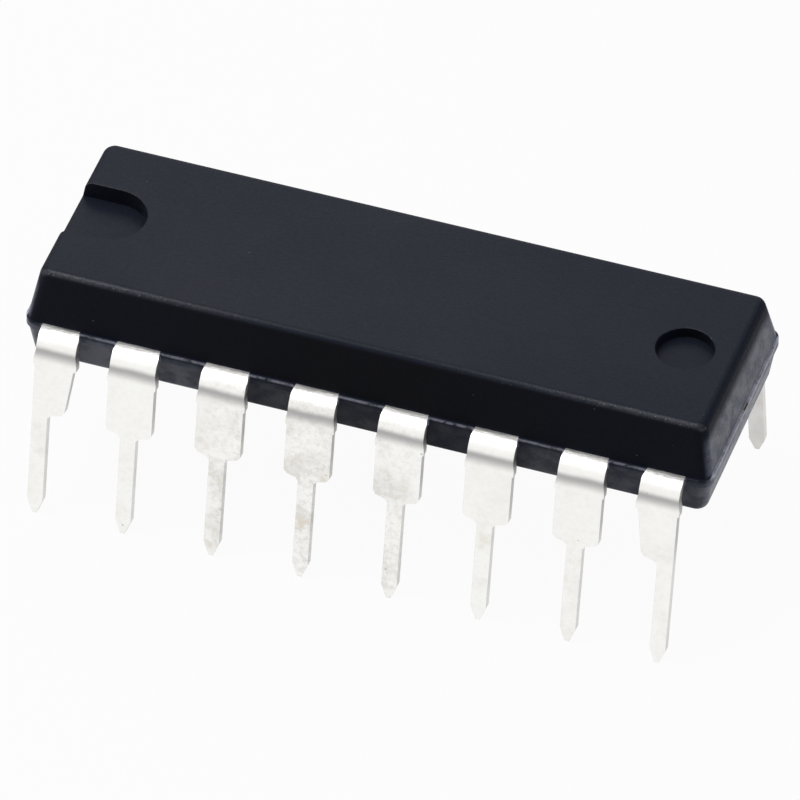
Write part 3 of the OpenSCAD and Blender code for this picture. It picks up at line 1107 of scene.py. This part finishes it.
@dataclass
class Moulding:
    """The epoxy body, with the edges that the mould and the trim tool leave."""

    node: bpy.types.Object
    layout: Layout
    rim_radius: float = 0.03
    rim_steps: int = 3
    strip_radius: float = 0.015
    end_strip_radius: float = 0.045
    strip_steps: int = 2
    recess_depth: float = 0.6
    base_slack: float = 0.01
    level_slack: float = 0.001
    sharp_angle: float = 40.0

    def _is_rim(self, edge: bmesh.types.BMEdge) -> bool:
        """Whether an edge is the rim of the notch or of an ejector mark."""
        if not is_sharp(edge, self.sharp_angle) or not edge.is_convex:
            return False
        levels = [vert.co.z for vert in edge.verts]
        is_high = min(levels) > self.layout.top - self.recess_depth
        return is_high or max(levels) < self.layout.base + self.base_slack

    def _stands_out(self, edge: bmesh.types.BMEdge, axis: int, wall: float) -> bool:
        """Whether an edge is an outer one of the parting strip on one pair of sides.

        Args:
            edge: the edge.
            axis: 0 for the ends, 1 for the long sides.
            wall: how far the walls are from the middle on that axis.

        Returns:
            True if it is level and both its ends stand out of the walls.
        """
        reach = wall + self.layout.ledge / 2
        first, last = edge.verts
        is_level = abs(first.co.z - last.co.z) < self.level_slack
        is_out = all(abs(vert.co[axis]) > reach for vert in edge.verts)
        return is_level and is_out and is_sharp(edge, self.sharp_angle)

    def build(self, material: bpy.types.Material) -> bpy.types.Object:
        """Builds the piece.

        Args:
            material: the epoxy.

        Returns:
            The object, which stands for the CAD body.
        """
        shape = clean_copy(self.node)
        layout = self.layout
        rims = [edge for edge in shape.edges if self._is_rim(edge)]
        soften(shape, rims, self.rim_radius, self.rim_steps)
        sides = (1, layout.half_width, self.strip_radius)
        ends = (0, layout.half_length - layout.ledge, self.end_strip_radius)
        for axis, wall, radius in (sides, ends):
            outer = [edge for edge in shape.edges if self._stands_out(edge, axis, wall)]
            soften(shape, outer, radius, self.strip_steps)
        piece = finish_piece(shape, "moulding", material, self.sharp_angle)
        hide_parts("body")
        return piece


@dataclass
class LeadRows:
    """The sixteen stamped and formed leads."""

    nodes: dict[str, bpy.types.Object]
    layout: Layout
    count: int = 16
    edge_radius: float = 0.03
    edge_steps: int = 2
    sharp_angle: float = 50.0
    hidden_depth: float = 0.3
    tip_height: float = 0.1
    shoulder_zone: tuple[float, float] = (2.9, 3.65)
    pin_half_width: float = 0.22
    shoulder_half_width: float = 0.65
    outer_margin: float = 1.0
    inner_sinks: tuple[float, float] = (0.02, 0.23)
    outer_sinks: tuple[float, float] = (-0.08, 0.12)
    full_cut: float = 0.35
    # How much painted shade the inner faces, which face the body, get.
    inner_shade: float = 0.6

    def _is_rolled(self, edge: bmesh.types.BMEdge) -> bool:
        """Whether an edge is one of the punched outline's, outside the moulding."""
        outside = self.layout.half_width - self.hidden_depth
        is_out = all(abs(vert.co.y) > outside for vert in edge.verts)
        return is_out and is_sharp(edge, self.sharp_angle)

    def _square_shoulders(self, shape: bmesh.types.BMesh) -> None:
        """Squares the shoulders: their corners sink down the leg, and the pin's root hardly moves.

        Args:
            shape: a lead's shape.
        """
        low, high = self.shoulder_zone
        furthest = max(abs(vert.co.x) for vert in shape.verts)
        is_outer = furthest > self.layout.half_length - self.outer_margin
        pin_sink, corner_sink = self.outer_sinks if is_outer else self.inner_sinks
        splay = math.radians(self.layout.splay)
        tip = [vert.co for vert in shape.verts if vert.co.z < self.tip_height]
        middle = sum(point.x for point in tip) / len(tip)
        down = Vector((0.0, math.copysign(math.sin(splay), tip[0].y), -math.cos(splay)))
        for vert in shape.verts:
            if low < vert.co.z < high and abs(vert.co.y) > self.layout.half_width:
                across = abs(vert.co.x - middle) - self.pin_half_width
                share = across / (self.shoulder_half_width - self.pin_half_width)
                vert.co += down * (pin_sink + (corner_sink - pin_sink) * max(0.0, share))

    def _mark_cuts_and_shade(self, shape: bmesh.types.BMesh) -> None:
        """Marks the faces that the punch cut, and by less the inner faces, which the shader darkens
        as painted shade.

        Args:
            shape: a lead's shape.
        """
        layer = shape.faces.layers.float.new(CUT_AND_SHADE)
        for face in shape.faces:
            centre = face.calc_center_median()
            inward = max(0.0, -face.normal.y * math.copysign(1.0, centre.y))
            sideways = abs(face.normal.x) / self.full_cut
            face[layer] = min(1.0, max(sideways, self.inner_shade * inward))

    def _lead(self, number: int, material: bpy.types.Material) -> bpy.types.Object:
        """Builds one lead.

        Args:
            number: the lead's number.
            material: the tin plate.

        Returns:
            The object.
        """
        name = f"lead_{number}"
        shape = clean_copy(self.nodes[name])
        self._square_shoulders(shape)
        rolled = [edge for edge in shape.edges if self._is_rolled(edge)]
        soften(shape, rolled, self.edge_radius, self.edge_steps)
        shape.normal_update()
        self._mark_cuts_and_shade(shape)
        piece = finish_piece(shape, f"formed_{name}", material, self.sharp_angle)
        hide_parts(name)
        return piece

    def build(self, material: bpy.types.Material) -> list[bpy.types.Object]:
        """Builds every lead.

        Args:
            material: the tin plate.

        Returns:
            The objects.
        """
        return [self._lead(number, material) for number in range(1, self.count + 1)]


@dataclass
class Inside:
    """What the moulding hides, which keeps its CAD shapes: pad, glue, die and wires."""

    nodes: dict[str, bpy.types.Object]
    layout: Layout
    plating: Colour = (0.78, 0.77, 0.74)
    glue: SilverGlue = SilverGlue()
    die: Silicon = Silicon()
    wire: InnerMetal = InnerMetal("gold_wire", (0.95, 0.7, 0.3), roughness=0.2)

    def build(self) -> int:
        """Dresses the CAD nodes.

        Returns:
            How many were dressed.
        """
        wires = [name for name in self.nodes if name.startswith("bond_wire_")]
        pad = PadMetal("plated_pad", self.plating, reach=self.layout.pad_reach)
        groups = [
            (pad, ["die_pad"]),
            (self.glue, ["die_attach"]),
            (self.die, ["die"]),
            (self.wire, wires),
        ]
        for finish, names in groups:
            material = finish.material()
            for name in names:
                self.nodes[name].data.materials.clear()
                self.nodes[name].data.materials.append(material)
        return sum(len(names) for _, names in groups)


@dataclass(frozen=True)
class Viewpoint:
    """The camera, placed by angles round the point that it looks at."""

    azimuth: float = 18.294
    elevation: float = 43.055
    roll: float = 0.698
    distance: float = 355.281
    aim: Triple = (0.392, -1.310, 4.214)
    focal_pixels: float = 13168.76
    frame_pixels: float = 800.0
    sensor: float = 36.0
    clip: tuple[float, float] = (10.0, 10000.0)

    def build(self) -> bpy.types.Object:
        """Makes the camera and gives it to the scene.

        Returns:
            The camera.
        """
        angles = (self.azimuth, self.elevation, self.roll)
        azimuth, elevation, roll = (math.radians(angle) for angle in angles)
        back = Vector(
            (
                math.sin(azimuth) * math.cos(elevation),
                -math.cos(azimuth) * math.cos(elevation),
                math.sin(elevation),
            )
        )
        level = Vector((math.cos(azimuth), math.sin(azimuth), 0.0))
        above = back.cross(level)
        right = level * math.cos(roll) + above * math.sin(roll)
        up = above * math.cos(roll) - level * math.sin(roll)
        data = bpy.data.cameras.new("camera")
        data.sensor_width = self.sensor
        data.lens = self.focal_pixels / self.frame_pixels * self.sensor
        data.clip_start, data.clip_end = (distance * MM for distance in self.clip)
        camera = bpy.data.objects.new("camera", data)
        turned = Matrix((right, up, back)).transposed().to_4x4()
        place = (Vector(self.aim) + back * self.distance) * MM
        camera.matrix_world = Matrix.Translation(place) @ turned
        bpy.context.scene.collection.objects.link(camera)
        bpy.context.scene.camera = camera
        return camera


@dataclass(frozen=True)
class Lamp:
    """One soft lamp, turned to the part."""

    name: str
    place: Triple
    width: float
    height: float
    brightness: float

    def build(self) -> None:
        """Hangs the lamp. A brightness of 1 looks white."""
        data = bpy.data.lights.new(self.name, "AREA")
        data.shape = "RECTANGLE"
        data.size = self.width * MM
        data.size_y = self.height * MM
        data.energy = self.brightness * math.pi * data.size * data.size_y
        lamp = bpy.data.objects.new(self.name, data)
        lamp.location = Vector(self.place) * MM
        lamp.rotation_mode = "QUATERNION"
        lamp.rotation_quaternion = (-lamp.location).to_track_quat("-Z", "Y")
        bpy.context.scene.collection.objects.link(lamp)


@dataclass(frozen=True)
class Studio:
    """A white table in a white tent, under soft lamps."""

    floor_radius: float = 600.0
    floor_segments: int = 96
    floor_colour: Colour = (0.65, 0.65, 0.65)
    floor_fade: float = 0.98
    floor_white: float = 0.95
    tent_white: float = 0.95
    zenith: float = 0.5
    horizon: float = 0.2
    glow_turn: Span = (0.0, 0.8)
    lamps: tuple[Lamp, ...] = (
        Lamp("overhead", (-43.0, -22.0, 155.0), width=70.0, height=70.0, brightness=5.5),
        Lamp("back", (-50.0, 153.0, 150.0), width=120.0, height=90.0, brightness=1.6),
        Lamp("left", (-60.0, -30.0, 40.0), width=40.0, height=40.0, brightness=2.0),
    )

    def _seen(self, shader: Shader) -> Value:
        """Whether a ray comes straight, or by a mirror or glass, from the camera."""
        rays = shader.node("ShaderNodeLightPath")
        kinds = ("Camera", "Glossy", "Transmission")
        seen = [Value(shader, rays.outputs[f"Is {kind} Ray"]) for kind in kinds]
        return sum(seen, 0.0).held()

    def _floor(self) -> None:
        """Lays the table."""
        shape = bmesh.new()
        radius = self.floor_radius * MM
        bmesh.ops.create_circle(shape, cap_ends=True, segments=self.floor_segments, radius=radius)
        mesh = bpy.data.meshes.new("table")
        shape.to_mesh(mesh)
        shape.free()
        floor = bpy.data.objects.new("table", mesh)
        bpy.context.scene.collection.objects.link(floor)
        shader = Shader.of_material("white_table")
        faded = tuple(part * self.floor_fade for part in self.floor_colour)
        paper = shader.mixed(shader.grain(per_mm=0.05, detail=2.0), self.floor_colour, faded)
        diffuse = shader.node("ShaderNodeBsdfDiffuse", None, {"Color": paper})
        white = shader.node("ShaderNodeEmission", None, {"Color": (1.0, 1.0, 1.0), "Strength": 1.0})
        share = self._seen(shader) * self.floor_white
        halves = {0: share, 1: diffuse.outputs[0], 2: white.outputs[0]}
        mixed = shader.node("ShaderNodeMixShader", None, halves)
        shader.feed(shader.output.inputs["Surface"], mixed.outputs[0])
        mesh.materials.append(shader.owner)

    def _tent(self) -> None:
        """Puts up the tent: white to look at, and dimmer as a light, most of all near the table."""
        world = bpy.data.worlds.new("tent")
        bpy.context.scene.world = world
        shader = Shader(world)
        direction = shader.node("ShaderNodeTexCoord").outputs["Generated"]
        up = shader.value("ShaderNodeSeparateXYZ", None, {0: direction}, "Z")
        glow = self.horizon + up.between(*self.glow_turn) * (self.zenith - self.horizon)
        seen = self._seen(shader)
        strength = seen * self.tent_white + (1.0 - seen) * glow
        values = {"Color": (1.0, 1.0, 1.0), "Strength": strength}
        lit = shader.node("ShaderNodeBackground", None, values)
        shader.feed(shader.output.inputs["Surface"], lit.outputs[0])

    def build(self) -> None:
        """Builds the table, the tent and the lamps."""
        bpy.context.scene.view_settings.view_transform = "Standard"
        self._floor()
        self._tent()
        for lamp in self.lamps:
            lamp.build()


def main() -> None:
    """Builds the dressed part, the studio and the camera."""
    logging.basicConfig(level=logging.INFO, format="%(name)s: %(message)s")
    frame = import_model()
    nodes = frame["nodes"]
    layout = Layout.measured()
    Viewpoint().build()
    Studio().build()
    moulding = Moulding(nodes["body"], layout).build(Epoxy(layout).material())
    LOG.info("%s: %d faces", moulding.name, len(moulding.data.polygons))
    for lead in LeadRows(nodes, layout).build(Tin(layout).material()):
        LOG.info("%s: %d faces", lead.name, len(lead.data.polygons))
    LOG.info("inner pieces dressed: %d", Inside(nodes, layout).build())


if __name__ == "__main__":
    main()
